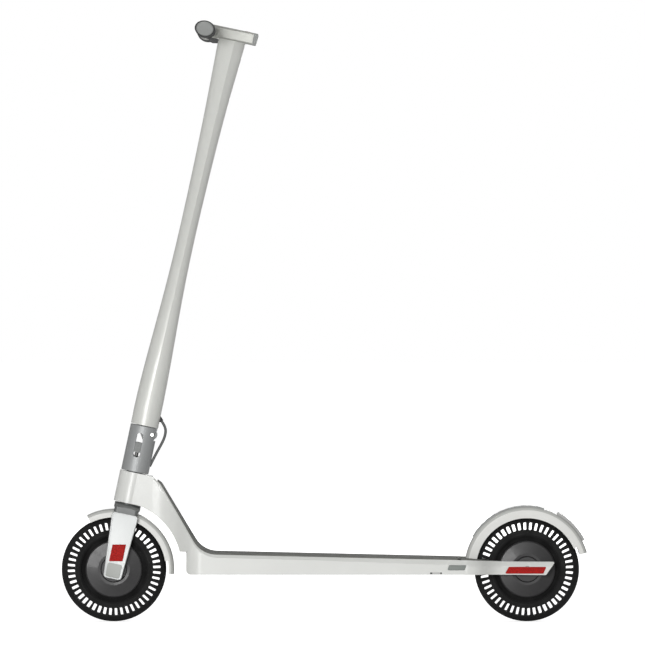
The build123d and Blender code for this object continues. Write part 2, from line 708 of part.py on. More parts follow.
def fender_screw_holes(radius):
    """Clearance or thread holes for the two fender screws."""
    return [STEER * (Pos(p, 0, 110.4) * Cylinder(radius, 8.8)) for p in (-7.0, 7.0)]


def rear_fender():
    """Rear fender, hinged at its front end, pressed down by the foot as a brake."""
    shell = fender_channel(REAR_AXLE, REAR_FENDER_R, REAR_FENDER_SKIRT_R, REAR_FENDER_DEG)
    lift = turned(rect(80.0, 99.5, -40.0, 40.0), REAR_AXLE, REAR_FENDER_DEG[0] - 1.0, 24.0)
    web = turned(rect(99.5, 105.5, 23.0, FENDER_HALF), REAR_AXLE, 166.0, 172.8)
    lug = web + rod_y(FENDER_PIVOT, FENDER_LUG_R, 23.0, FENDER_HALF)
    lug = lug - turned(rect(111.5, 130.0, 20.0, 30.0), REAR_AXLE, 160.0, 180.0)
    body = shell - lift + both_sides(lug)
    return body - rod_y(FENDER_PIVOT, FENDER_PIN_R + RUNNING_GAP, -40.0, 40.0)


def foot_pad():
    """Rubber foot pad let onto the rear fender."""
    base = turned(rect(REAR_FENDER_R, REAR_FENDER_R + FOOT_PAD_THICK, -19.0, 19.0), REAR_AXLE, *FOOT_PAD_DEG)
    ribs = [turned(rect(REAR_FENDER_R + FOOT_PAD_THICK, REAR_FENDER_R + FOOT_PAD_THICK + 0.4, -16.0, 16.0),
                   REAR_AXLE, FOOT_PAD_DEG[0] + 4.0 + 7.0 * step, FOOT_PAD_DEG[0] + 7.4 + 7.0 * step)
            for step in range(10)]
    return base + ribs


def tail_light_housing():
    """Raised lamp housing on the back of the rear fender."""
    top = REAR_FENDER_R + LAMP_HEIGHT
    hump = outline([(REAR_FENDER_R, -20.0), (top, -18.5), (top, 18.5), (REAR_FENDER_R, 20.0)],
                   [0, 2.4, 2.4, 0])
    return turned(hump, REAR_AXLE, *LAMP_DEG) - tail_light_lens()


def tail_light_lens():
    """Red lens let into the rear end of the lamp housing."""
    face = rect(REAR_FENDER_R + 0.6, REAR_FENDER_R + LAMP_HEIGHT - 1.0, -LAMP_LENS_HALF, LAMP_LENS_HALF)
    return turned(face, REAR_AXLE, LAMP_DEG[0], LAMP_DEG[0] + 3.0)


def brake_pad():
    """Friction block under the rear fender, just clear of the tread."""
    return turned(rect(BRAKE_PAD_R, REAR_FENDER_R - FENDER_WALL, -11.0, 11.0), REAR_AXLE, *BRAKE_PAD_DEG)


def save_fenders():
    """All nodes of the two fenders."""
    save("front_fender", front_fender() - fender_screw_holes(1.9))
    save("front_fender_screws", group([fender_screw(-7.0), fender_screw(7.0)]))
    save("rear_fender", rear_fender())
    save("fender_foot_pad", foot_pad())
    save("tail_light_housing", tail_light_housing())
    save("tail_light_lens", tail_light_lens())
    save("brake_pad", brake_pad())


# ---------------------------------------------------------------- fork and folding joint


def leg_face(inset=0.0):
    """Tapered outline of a fork leg in (p, a)."""
    return outline([
        (-LEG_TOP_HALF + inset, LEG_TOP_A - inset), (LEG_TOP_HALF - inset, LEG_TOP_A - inset),
        (LEG_BOTTOM_P[1] - inset, LEG_BOTTOM_A + inset), (LEG_BOTTOM_P[0] + inset, LEG_BOTTOM_A + inset),
    ], 6.0 - inset / 2)


def reflector_face():
    """Level-topped outline of the reflector on a fork leg, in global (x, z)."""
    low, high, half = 110.6, 141.1, 12.4
    low_x = FRONT_AXLE[0] + (low - TYRE_R) * math.tan(RAKE) + 0.8
    high_x = FRONT_AXLE[0] + (high - TYRE_R) * math.tan(RAKE) + 0.8
    return outline([(low_x - half, low), (low_x + half, low), (high_x + half, high), (high_x - half, high)], 1.6)


def fork_leg():
    """One fork leg: a tapered blade with a raised rim round its outer face."""
    leg = plate_y(leg_face(), LEG_INNER, LEG_OUTER)
    leg = chamfer(leg.faces().sort_by(Axis.Y)[-1].edges(), 1.0)
    leg = leg - plate_y(leg_face(LEG_RIM), LEG_OUTER - LEG_RECESS, LEG_OUTER + 2.0)
    leg = leg - rod_y((0, 0), AXLE_STUB_R, 0.0, 60.0) - rod_y((0, 0), NUT_POCKET_R, NUT_INNER, 60.0)
    return STEER * leg


def fork_crown():
    """Crown that bridges the wheel, with the steerer tube on top."""
    block = box((-CROWN_HALF_P, CROWN_HALF_P), (-44.4, 44.4), (CROWN_LOW_A, CROWN_TOP_A))
    block = fillet(block.edges().filter_by(Axis.Z), 6.0)
    block = block & Sphere(CROWN_SPHERE_R)
    block = block + Pos(0, 0, 116.0) * Cylinder(CROWN_HUB_R, 2 * (CROWN_TOP_A - 116.0))
    pocket = box((-60.0, 60.0), (-29.5, 29.5), (80.0, 111.5))
    steerer = Pos(0, 0, 116.0) * Cylinder(
        STEERER_R, STEERER_TOP_A - 116.0, align=(Align.CENTER, Align.CENTER, Align.MIN))
    hollow = Pos(0, 0, 117.0) * Cylinder(
        STEERER_R - 3.0, 200.0, align=(Align.CENTER, Align.CENTER, Align.MIN))
    return STEER * (block - pocket + steerer - hollow)


def axle_cover():
    """Cover plate over the axle nut at the foot of a fork leg."""
    face = outline([(-AXLE_COVER_HALF + 1.0, AXLE_COVER_A[0]), (AXLE_COVER_HALF - 0.2, AXLE_COVER_A[0]),
                    (AXLE_COVER_HALF + 0.6, AXLE_COVER_A[1]), (-AXLE_COVER_HALF, AXLE_COVER_A[1])], 3.4)
    return STEER * plate_y(face, LEG_OUTER - LEG_RECESS, LEG_OUTER + 0.6)


def window_face(a0, a1, width):
    """Round-ended upright slot in (p, a)."""
    return Pos(WINDOW_P, (a0 + a1) / 2) * RectangleRounded(width, a1 - a0, width / 2 - 0.4)


def cable_bore():
    """Entry for the fold cable, low on the rear of the collar."""
    last, before = CABLE_POINTS[-1], CABLE_POINTS[-2]
    run = Vector(last[0] - before[0], 0, last[1] - before[1]).normalized()
    start = Vector(last[0], 0, last[1]) + run * 0.05
    return extrude(Plane(origin=start, z_dir=-run) * Circle(CABLE_R + 0.5), amount=26.0)


def folding_collar():
    """Collar clamped on the steerer, with a side window and a notch for the hinge."""
    height = COLLAR_A[1] - COLLAR_A[0]
    bottom = (Align.CENTER, Align.CENTER, Align.MIN)
    collar = Pos(0, 0, COLLAR_A[0]) * Cylinder(COLLAR_R, height, align=bottom)
    collar = chamfer(collar.edges(), 0.8)
    collar = collar - Pos(0, 0, COLLAR_A[0] - 5.0) * Cylinder(STEERER_R, STEERER_TOP_A - COLLAR_A[0] + 5.0,
                                                              align=bottom)
    collar = collar - Pos(0, 0, COLLAR_FLOOR_A) * Cylinder(COLLAR_BORE_R, height, align=bottom)
    collar = collar - plate_y(window_face(WINDOW_A[0], WINDOW_A[1], WINDOW_WIDTH), -40.0, 40.0)
    collar = collar - box((0.0, 40.0), (-NOTCH_HALF, NOTCH_HALF), (NOTCH_LOW_A, 300.0))
    collar = collar - rod_y((HINGE_P, HINGE_A), HINGE_PIN_R, -40.0, 40.0)
    collar = collar - Pos(WINDOW_P, 0, COLLAR_FLOOR_A - 3.0) * Cylinder(GUIDE_ROD_R, 6.0)
    return STEER * (collar - cable_bore())


def hinge_pin():
    """Pin that the stem folds about."""
    pin = rod_y((HINGE_P, HINGE_A), HINGE_PIN_R, -HINGE_PIN_HALF, HINGE_PIN_HALF)
    return STEER * chamfer(pin.edges(), 0.5)


def guide_rod():
    """Rod that guides the fold slider and its spring."""
    return STEER * (Pos(WINDOW_P, 0, COLLAR_FLOOR_A - 3.0) * Cylinder(
        GUIDE_ROD_R, 30.0, align=(Align.CENTER, Align.CENTER, Align.MIN)))


def lock_spring():
    """Coil spring between the collar floor and the slider."""
    room = SLIDER_A[0] - COLLAR_FLOOR_A
    wire = 0.7
    coil = coil_spring(3.2, wire, 4, (room - 2 * wire - 0.4) / 4)
    return STEER * (Pos(WINDOW_P, 0, COLLAR_FLOOR_A + wire + 0.2) * coil)


def slider_block():
    """Fold release: a block across the collar that shows in both windows."""
    face = Pos(WINDOW_P, sum(SLIDER_A) / 2) * RectangleRounded(
        WINDOW_WIDTH - 0.5, SLIDER_A[1] - SLIDER_A[0], 2.0)
    block = plate_y(face, -24.6, 24.6)
    core = box((WINDOW_P - 10.0, WINDOW_P + 10.0), (-15.0, 15.0), SLIDER_A)
    bore = Pos(WINDOW_P, 0, SLIDER_A[0] - 1.0) * Cylinder(
        GUIDE_ROD_R + 0.2, 60.0, align=(Align.CENTER, Align.CENTER, Align.MIN))
    return STEER * (block + core - bore)


def cable_radii(points):
    """The largest arc that the runs on each side of every inner point allow."""
    radii = []
    for before, here, after in zip(points, points[1:], points[2:]):
        arriving = Vector(here) - Vector(before)
        leaving = Vector(after) - Vector(here)
        half_turn = math.radians(arriving.get_angle(leaving)) / 2
        radii.append(0.45 * min(arriving.length, leaving.length) / math.tan(half_turn))
    return radii


def fold_cable():
    """Cable that runs free from the stem down into the collar."""
    points = [(p, 0.0, a) for p, a in CABLE_POINTS]
    radii = cable_radii(points)
    path = FilletPolyline(*points, radius=radii)
    section = Plane(origin=path @ 0, z_dir=path % 0) * Circle(CABLE_R)
    tube = sweep(section, path=path)
    print("fold cable length", round(path.length, 1), "radii", [round(radius, 1) for radius in radii])
    print("fold cable volume ratio", round(tube.volume / (math.pi * CABLE_R ** 2 * path.length), 4))
    return STEER * tube


def save_fork():
    """All nodes that turn with the fork."""
    crown = fork_crown() - fender_screw_holes(1.9)
    save("fork_crown", crown)
    save("fork_legs", pair(fork_leg()))
    save("front_axle_covers", pair(axle_cover()))
    save("front_side_reflectors", pair(plate_y(reflector_face(), LEG_OUTER - LEG_RECESS, LEG_OUTER + 0.4)))
    save("folding_collar", folding_collar())
    save("stem_hinge_pin", hinge_pin())
    save("slider_guide_rod", guide_rod())
    save("lock_spring", lock_spring())
    save("slider_block", slider_block())
    save("fold_cable", fold_cable())


# ---------------------------------------------------------------- stem


def stem_section(station, inset=0.0):
    """Rounded section that sharpens towards its side edges and flattens behind."""
    height, front, rear, half_width, sharp = station
    front += inset
    rear -= inset
    half = half_width - inset
    edge_p = front + (0.5 + 0.11 * sharp) * (rear - front)
    front_reach = CIRCLE_KAPPA * (edge_p - front)
    rear_reach = CIRCLE_KAPPA * (rear - edge_p)
    toe = math.radians(24.0 * sharp)
    heel = math.radians(38.0 * sharp)
    blunt = CIRCLE_KAPPA * (1.0 - 0.25 * sharp) * half
    flat = CIRCLE_KAPPA * (1.0 - 0.1 * sharp) * half
    curves = []
    for side in (1, -1):
        curves.append(Bezier(
            (front, 0), (front, side * blunt),
            (edge_p - front_reach, side * (half - front_reach * math.tan(toe))), (edge_p, side * half)))
        curves.append(Bezier(
            (edge_p, side * half), (edge_p + rear_reach, side * (half - rear_reach * math.tan(heel))),
            (rear, side * flat), (rear, 0)))
    return Plane.XY.offset(height) * make_face(curves)


def stem_core():
    """Stem as a solid, without its hollow."""
    return loft([stem_section(station) for station in STEM_STATIONS])


def stem_tube():
    """Hollow tapered stem, closed at both ends."""
    inner = loft([stem_section(station, STEM_WALL) for station in STEM_STATIONS])
    inside = inner & box((-60.0, 60.0), (-60.0, 60.0), (STEM_STATIONS[0][0] + 12.0, STEM_STATIONS[-1][0] - 3.0))
    return STEER * (stem_core() - inside)


def stem_knuckle():
    """Hinge knuckle under the stem: an eye on the pin and a nose that the slider locks."""
    top = STEM_STATIONS[0][0]
    face = outline([
        (-15.0, top), (-9.0, 258.5), (-0.5, 246.0), (3.0, 239.5), (8.6, 241.5),
        (12.0, 246.5), (24.0, 258.0), (24.6, top)], [0, 3.0, 1.0, 1.0, 1.0, 0, 1.0, 0])
    knuckle = plate_y(face, -KNUCKLE_HALF, KNUCKLE_HALF)
    knuckle = knuckle + rod_y((HINGE_P, HINGE_A), KNUCKLE_EYE_R, -KNUCKLE_HALF, KNUCKLE_HALF)
    knuckle = knuckle & box((-40.0, 40.0), (-20.0, 20.0), (200.0, top))
    return STEER * (knuckle - rod_y((HINGE_P, HINGE_A), HINGE_PIN_R + RUNNING_GAP, -20.0, 20.0))


def cable_gland():
    """Moulded gland where the fold cable leaves the stem."""
    (p0, a0), (p1, a1) = CABLE_POINTS[0], CABLE_POINTS[1]
    run = Vector(p1 - p0, 0, a1 - a0).normalized()
    boss = extrude(Plane(origin=Vector(p0, 0, a0), z_dir=-run) * Circle(CABLE_R + 1.4), amount=14.0)
    return STEER * (boss - stem_core())


def pod_profile():
    """Side outline of the display pod in (p, a)."""
    return outline([
        (POD_FRONT_P + 5.0, POD_CHIN_A), (POD_FRONT_P, POD_CHIN_A + 5.5), (POD_FRONT_P, POD_TOP_A - 6.5),
        (POD_FRONT_P + 6.5, POD_TOP_A), (POD_CAP_P, POD_TOP_A), (POD_CAP_P, POD_LOW_A),
        (-15.5, POD_LOW_A), (-20.5, POD_CHIN_A)],
        [3.0, 3.0, 4.0, 4.0, 0.0, 0.0, 2.0, 2.0])


def handlebar_pod():
    """Display pod across the top of the stem."""
    pod = plate_y(pod_profile(), -POD_HALF, POD_HALF)
    pod = fillet(pod.edges().filter_by(Axis.X).group_by(Axis.Z)[-1], 3.5)
    cavity = box((-14.0, 42.0), (-20.0, 20.0), (POD_FLOOR_A, POD_TOP_A - LENS_THICK - 2.0))
    lens_seat = box((-20.0, 24.0), (-17.0, 17.0), (POD_TOP_A - LENS_THICK, POD_TOP_A + 5.0))
    button_hole = Pos(35.0, 0, POD_TOP_A) * Cylinder(5.1, 20.0)
    lamp_seat = Pos(POD_FRONT_P, 0, LAMP_A) * Rot(0, 90, 0) * Cylinder(7.0, 6.0)
    bores = rod_y((BAR_P, BAR_A), BAR_R, BAR_INNER_END, 60.0)
    pod = pod - cavity - lens_seat - button_hole - lamp_seat - both_sides(bores)
    return STEER * pod


def pod_end_cap():
    """Cap on the rear end of the pod."""
    face = outline([
        (POD_CAP_P, POD_TOP_A), (POD_REAR_P, POD_TOP_A), (POD_REAR_P - 1.6, POD_LOW_A), (POD_CAP_P, POD_LOW_A)],
        [0.0, 2.5, 2.5, 0.0])
    return STEER * plate_y(face, -POD_HALF, POD_HALF)


def bar_section(p, y, half_p, half_a):
    """One oval section across the bar."""
    return Plane(origin=(p, y, BAR_A), x_dir=(1, 0, 0), z_dir=(0, 1, 0)) * Ellipse(half_p, half_a)


def bar_arm():
    """Moulded shell between the pod and the lever, round the bar."""
    arm = loft([
        bar_section(BAR_P + 0.4, POD_HALF, 11.6, 12.2),
        bar_section(BAR_P + 0.2, 50.0, 13.4, 12.8),
        bar_section(BAR_P, ARM_END_Y, 15.4, 13.6)])
    return STEER * (arm - rod_y((BAR_P, BAR_A), BAR_R, 0.0, 120.0))


def half_bar():
    """Steel tube inside one arm and grip."""
    outer = rod_y((BAR_P, BAR_A), BAR_R, BAR_INNER_END, GRIP_Y[1])
    return STEER * (outer - rod_y((BAR_P, BAR_A), BAR_R - BAR_WALL, 0.0, 300.0))


def grip():
    """Oval rubber grip sleeve."""
    sleeve = extrude(bar_section(BAR_P, GRIP_Y[0], GRIP_HALF_P, GRIP_HALF_A), amount=GRIP_Y[1] - GRIP_Y[0])
    sleeve = fillet(sleeve.edges(), 2.4)
    return STEER * (sleeve - rod_y((BAR_P, BAR_A), BAR_R, 0.0, 300.0))


def grip_cap():
    """Oval end cap of a grip."""
    cap = extrude(bar_section(BAR_P, GRIP_Y[1], GRIP_CAP_HALF_P, GRIP_CAP_HALF_A), amount=GRIP_CAP_THICK)
    return STEER * chamfer(cap.faces().sort_by(Axis.Y)[-1].edges(), 1.0)


def thumb_lever(side):
    """Thumb paddle on a ring that turns about the bar."""
    y0, y1 = sorted((side * LEVER_Y[0], side * LEVER_Y[1]))
    reach0, reach1 = sorted((side * LEVER_REACH_Y, side * LEVER_Y[1]))
    paddle = outline([
        (BAR_P + 8.0, BAR_A - 8.5), (BAR_P + 15.0, BAR_A - 11.0), (BAR_P + 26.0, BAR_A - 11.0),
        (BAR_P + 28.0, BAR_A - 14.0), (BAR_P + 14.0, BAR_A - 16.5), (BAR_P + 1.0, BAR_A - 13.4)], 1.6)
    blade = plate_y(paddle, y0, y1)
    tab = plate_y(paddle, reach0, reach1) - rod_y((BAR_P, BAR_A), 16.6, -120.0, 120.0)
    lever = rod_y((BAR_P, BAR_A), LEVER_RING_R, y0, y1) + blade + tab
    return STEER * (lever - rod_y((BAR_P, BAR_A), BAR_R + RUNNING_GAP, -120.0, 120.0))


def save_stem():
    """All nodes of the stem and the handlebar."""
    save("stem_tube", stem_tube())
    save("stem_knuckle", stem_knuckle())
    save("cable_gland", cable_gland())
    save("handlebar_pod", handlebar_pod())
    save("pod_end_cap", pod_end_cap())
    save("display_lens", STEER * box((-19.8, 23.8), (-16.8, 16.8), (POD_TOP_A - LENS_THICK, POD_TOP_A)))
    save("headlight_lens", STEER * (Pos(POD_FRONT_P + 1.0, 0, LAMP_A) * Rot(0, 90, 0) * Cylinder(7.0, 3.0)))
    save("control_board", STEER * box((-12.0, 26.0), (-18.0, 18.0), (POD_FLOOR_A, POD_FLOOR_A + 2.0)))
    save("power_button", STEER * (Pos(35.0, 0, POD_TOP_A - 2.0) * Cylinder(5.0, 5.6)))
    save("handlebar_arms", pair(bar_arm()))
    save("handlebar_tubes", pair(half_bar()))
    save("grips", pair(grip()))
    save("grip_end_caps", pair(grip_cap()))
    save("brake_lever", thumb_lever(-1))
    save("throttle_lever", thumb_lever(1))


def main():
    """Write every node."""
    os.makedirs("parts", exist_ok=True)
    wheel("front", FRONT_AXLE)
    wheel("rear", REAR_AXLE)
    save_frame()
    save_fenders()
    save_fork()
    save_stem()


main()
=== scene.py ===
import json
import math

import bmesh
import bpy
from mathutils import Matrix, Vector


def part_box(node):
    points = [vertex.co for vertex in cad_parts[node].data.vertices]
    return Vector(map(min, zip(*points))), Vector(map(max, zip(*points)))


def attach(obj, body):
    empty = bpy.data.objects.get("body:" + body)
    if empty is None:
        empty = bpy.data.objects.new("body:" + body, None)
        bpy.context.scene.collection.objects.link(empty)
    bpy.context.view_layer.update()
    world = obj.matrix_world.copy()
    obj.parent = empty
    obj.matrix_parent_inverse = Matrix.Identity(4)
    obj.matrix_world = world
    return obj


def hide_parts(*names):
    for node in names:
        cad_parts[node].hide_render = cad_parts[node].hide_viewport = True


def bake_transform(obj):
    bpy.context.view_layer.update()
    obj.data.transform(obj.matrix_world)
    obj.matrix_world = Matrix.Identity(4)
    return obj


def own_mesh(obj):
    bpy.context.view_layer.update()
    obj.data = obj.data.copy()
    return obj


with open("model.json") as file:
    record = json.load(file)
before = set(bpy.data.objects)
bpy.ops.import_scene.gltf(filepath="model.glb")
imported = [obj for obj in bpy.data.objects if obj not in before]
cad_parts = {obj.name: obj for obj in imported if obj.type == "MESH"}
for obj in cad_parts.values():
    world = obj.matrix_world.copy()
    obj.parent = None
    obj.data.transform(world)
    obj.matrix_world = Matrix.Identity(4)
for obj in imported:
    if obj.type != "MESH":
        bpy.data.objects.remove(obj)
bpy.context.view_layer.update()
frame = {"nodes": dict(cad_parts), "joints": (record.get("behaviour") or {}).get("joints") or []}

# Electric kick scooter. Lengths below are millimetres unless a name says otherwise;
# place() and steer() turn them into metres in the row frame.
MM = 0.001
NODES = frame["nodes"]
JOINTS = {joint["name"]: joint for joint in frame["joints"]}

AXIS_UP = Vector(JOINTS["steering"]["axis"]).normalized()
AXIS_BACK = Vector((AXIS_UP.z, 0.0, -AXIS_UP.x))
FRONT_AXLE = Vector(JOINTS["front_wheel_spin"]["pos_m"])


def place(x, y, z):
    """A point given in millimetres in the row frame."""
    return Vector((x, y, z)) * MM


def steer(p, y, a):
    """A point given in the steering frame: p behind the axis, y to the right, a up the axis."""
    return FRONT_AXLE + (AXIS_BACK * p + Vector((0.0, y, 0.0)) + AXIS_UP * a) * MM



# ------------------------------------------------------------------ materials


def srgb(value):
    """Linear colour of an 8-bit sRGB triple."""
    linear = []
    for channel in value:
        c = channel / 255.0
        linear.append(c / 12.92 if c <= 0.04045 else ((c + 0.055) / 1.055) ** 2.4)
    return (*linear, 1.0)


class Nodes:
    """Short calls for wiring one material."""

    def __init__(self, name):
        self.material = bpy.data.materials.new(name)
        self.material.use_nodes = True
        self.tree = self.material.node_tree
        self.shader = self.tree.nodes["Principled BSDF"]
        self.coords = self.tree.nodes.new("ShaderNodeTexCoord").outputs["Object"]

    def add(self, kind, **inputs):
        node = self.tree.nodes.new(kind)
        for key, value in inputs.items():
            self.set(node, key.replace("_", " "), value)
        return node

    def set(self, node, key, value):
        if isinstance(value, bpy.types.NodeSocket):
            self.tree.links.new(value, node.inputs[key])
        else:
            node.inputs[key].default_value = value

    def scaled(self, stretch):
        return self.add("ShaderNodeMapping", Vector=self.coords, Scale=stretch).outputs["Vector"]

    def noise(self, scale, detail=3.0, stretch=(1.0, 1.0, 1.0)):
        node = self.add("ShaderNodeTexNoise", Vector=self.scaled(stretch), Scale=scale, Detail=detail)
        return node.outputs["Fac"]

    def cells(self, scale, stretch=(1.0, 1.0, 1.0)):
        node = self.add("ShaderNodeTexVoronoi", Vector=self.scaled(stretch), Scale=scale)
        return node.outputs["Distance"]

    def ramp(self, fac, low, high, start=0.35, end=0.65):
        node = self.add("ShaderNodeValToRGB", Fac=fac)
        node.color_ramp.elements[0].position = start
        node.color_ramp.elements[1].position = end
        node.color_ramp.elements[0].color = low
        node.color_ramp.elements[1].color = high
        return node.outputs["Color"]

    def span(self, fac, low, high):
        node = self.add("ShaderNodeMapRange", Value=fac)
        node.inputs["From Min"].default_value = 0.3
        node.inputs["From Max"].default_value = 0.7
        node.inputs["To Min"].default_value = low
        node.inputs["To Max"].default_value = high
        return node.outputs["Result"]

    def glow(self, fac, low, high):
        node = self.add("ShaderNodeMapRange", Value=fac)
        node.inputs["To Min"].default_value = low
        node.inputs["To Max"].default_value = high
        return node.outputs["Result"]

    def bump(self, height, distance, strength=1.0, below=None):
        node = self.add("ShaderNodeBump", Height=height, Distance=distance, Strength=strength)
        if below is not None:
            self.set(node, "Normal", below)
        return node.outputs["Normal"]

    def finish(self, **inputs):
        for key, value in inputs.items():
            self.set(self.shader, key.replace("_", " "), value)
        return self.material


def tint(colour, amount):
    """The linear colour of an sRGB triple, lighter or darker by a fraction."""
    return srgb([min(255.0, max(0.0, channel * (1.0 + amount))) for channel in colour])


def paint(name, colour, roughness=0.36, metallic=0.0, coat=0.25, flake=0.0):
    """Sprayed paint: faint orange peel, slight tone drift, and metal flake where it has any."""
    n = Nodes(name)
    drift = n.ramp(n.noise(7.0), tint(colour, -0.012), tint(colour, 0.012))
    peel = n.bump(n.noise(420.0, 2.0), 0.00012, 0.35)
    rough = n.span(n.noise(18.0, 4.0), roughness - 0.04, roughness + 0.05)
    if flake:
        speck = n.ramp(n.cells(2600.0), tint(colour, -flake), tint(colour, flake), 0.2, 0.7)
        mix = n.add("ShaderNodeMix")
        mix.data_type = "RGBA"
        n.set(mix, 0, 0.5)
        n.tree.links.new(drift, mix.inputs[6])
        n.tree.links.new(speck, mix.inputs[7])
        drift = mix.outputs[2]
    return n.finish(Base_Color=drift, Roughness=rough, Metallic=metallic, Normal=peel,
                    Coat_Weight=coat, Coat_Roughness=0.18)


def plastic(name, colour, roughness=0.5, grain=0.00018, scale=900.0, drift=0.03):
    """Moulded plastic with a spark-eroded grain."""
    n = Nodes(name)
    base = n.ramp(n.noise(11.0), tint(colour, -drift), tint(colour, drift))
    grained = n.bump(n.cells(scale), grain, 0.5)
    rough = n.span(n.noise(30.0), roughness - 0.05, roughness + 0.06)
    return n.finish(Base_Color=base, Roughness=rough, Normal=grained)


def rubber(name, colour, roughness=0.78, scale=600.0, depth=0.0003, drift=0.1):
    """Moulded rubber: matt, faintly mottled, with a pebbled skin."""
    n = Nodes(name)
    base = n.ramp(n.noise(26.0, 5.0), tint(colour, -drift), tint(colour, drift))
    pebble = n.bump(n.cells(scale), depth, 0.6)
    fine = n.bump(n.noise(1500.0, 2.0), 0.0001, 0.4, pebble)
    rough = n.span(n.noise(40.0), roughness - 0.08, roughness + 0.08)
    return n.finish(Base_Color=base, Roughness=rough, Normal=fine, Specular_IOR_Level=0.35)


def metal(name, colour, roughness=0.32, stretch=(1.0, 40.0, 1.0)):
    """Bare metal with fine turning or brushing marks."""
    n = Nodes(name)
    marks = n.noise(120.0, 4.0, stretch)
    base = n.ramp(marks, tint(colour, -0.08), tint(colour, 0.08))
    brushed = n.bump(marks, 0.00008, 0.5)
    rough = n.span(marks, roughness - 0.08, roughness + 0.1)
    return n.finish(Base_Color=base, Roughness=rough, Metallic=1.0, Normal=brushed)


def reflector(name, colour):
    """Red reflector plastic with a field of small prisms under a clear gloss."""
    n = Nodes(name)
    prisms = n.cells(520.0, (1.0, 0.2, 1.0))
    base = n.ramp(prisms, tint(colour, -0.22), tint(colour, 0.18), 0.1, 0.6)
    facets = n.bump(prisms, 0.0005, 0.7)
    return n.finish(Base_Color=base, Roughness=0.45, Normal=facets,
                    Specular_IOR_Level=0.12)


def gloss(name, colour, roughness=0.16, coat=0.6):
    """Gloss lacquer with faint polishing swirls."""
    n = Nodes(name)
    swirl = n.noise(60.0, 5.0, (1.0, 0.3, 1.0))
    base = n.ramp(swirl, tint(colour, -0.05), tint(colour, 0.06))
    rough = n.span(swirl, roughness - 0.03, roughness + 0.05)
    peel = n.bump(n.noise(300.0, 2.0), 0.00006, 0.3)
    return n.finish(Base_Color=base, Roughness=rough, Normal=peel, Coat_Weight=coat, Coat_Roughness=0.05)


def clear(name, colour):
    """Clear moulded lens with fine flutes."""
    n = Nodes(name)
    flutes = n.noise(260.0, 1.0, (0.2, 1.0, 0.2))
    return n.finish(Base_Color=srgb(colour), Roughness=n.span(flutes, 0.06, 0.14),
                    Normal=n.bump(flutes, 0.0004, 0.5), Transmission_Weight=0.75, IOR=1.49)


def make_materials():
    """Every material by name."""
    return {
        "white": paint("white_paint", (226, 227, 223)),
        "white_fender": plastic("white_fender_plastic", (230, 230, 226), 0.42, 0.00008, 1100.0, 0.01),
        # The darker grey fender plastic below is painted shade: the white fender crowns as they look in
        # shade.
        "fender_crown_shade": plastic("fender_crown_painted_shade", (196, 197, 193), 0.5, 0.00008, 1100.0, 0.01),
        "stem": paint("stem_paint", (221, 222, 217), 0.4, 0.1, 0.12, 0.03),
        "silver": paint("silver_paint", (190, 192, 191), 0.38, 0.25, 0.15, 0.05),
        "pod": paint("pod_paint", (168, 169, 163), 0.36, 0.25, 0.2, 0.05),
        "collar": paint("collar_paint", (168, 170, 170), 0.5, 0.4, 0.0, 0.06),
        "cover": paint("cover_paint", (146, 148, 144), 0.4, 0.2, 0.1, 0.04),
        # Dark grey paint for the bottom cover, slider block and knuckle; on the fork crown it is painted
        # shade, the crown lying in shadow under the head tube.
        "crown": paint("dark_grey_paint_and_crown_shade", (104, 106, 105), 0.42, 0.2, 0.1, 0.06),
        "flap": plastic("flap_plastic", (134, 139, 135), 0.5, 0.00008),
        "mat": rubber("mat_rubber", (112, 113, 109), 0.82, 1400.0, 0.0002, 0.05),
        "tread": rubber("tyre_rubber", (18, 18, 18), 0.78, 900.0, 0.0002, 0.15),
        "rim": rubber("rim_black", (8, 8, 8), 0.85, 500.0, 0.0001),
        "hub": gloss("hub_gloss", (36, 35, 36), 0.42, 0.08),
        "steel": metal("steel", (172, 172, 170)),
        "dark_plastic": plastic("dark_plastic", (52, 53, 53)),
        "grey_plastic": plastic("grey_plastic", (136, 138, 136), 0.5),
        "pad": plastic("foot_pad_plastic", (158, 160, 158), 0.6, 0.0002, 700.0),
        "lamp": plastic("lamp_plastic", (188, 188, 186), 0.36, 0.00006),
        "red": reflector("red_reflector", (156, 20, 15)),
        "grip": rubber("grip_rubber", (66, 67, 67), 0.8, 1500.0, 0.0002, 0.06),
        "cable": rubber("cable_jacket", (98, 100, 99), 0.5, 700.0, 0.00006, 0.04),
        "glass": gloss("display_glass", (12, 13, 15), 0.06, 1.0),
        "clear": clear("clear_lens", (235, 238, 240)),
        "wrap": plastic("battery_wrap", (38, 62, 112), 0.35),
        "board": gloss("circuit_board", (22, 78, 42), 0.3, 0.3),
        "copper": metal("motor_copper", (170, 104, 64)),
    }


MATERIALS = make_materials()


# ------------------------------------------------------------------ mesh tools


def piece(name, bm, body, material, sharp=32.0, *replaced):
    """Turn a bmesh into a piece that rides on a body and stands for CAD nodes."""
    bmesh.ops.remove_doubles(bm, verts=bm.verts, dist=1e-7)
    bmesh.ops.recalc_face_normals(bm, faces=bm.faces)
    mesh = bpy.data.meshes.new(name)
    bm.to_mesh(mesh)
    bm.free()
    mesh.polygons.foreach_set("use_smooth", [True] * len(mesh.polygons))
    mesh.set_sharp_from_angle(angle=math.radians(sharp))
    mesh.materials.append(MATERIALS[material])
    made = bpy.data.objects.new(name, mesh)
    bpy.context.scene.collection.objects.link(made)
    even = made.modifiers.new("even_normals", "WEIGHTED_NORMAL")
    even.keep_sharp = True
    if body:
        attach(made, body)
    if replaced:
        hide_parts(*replaced)
    return made


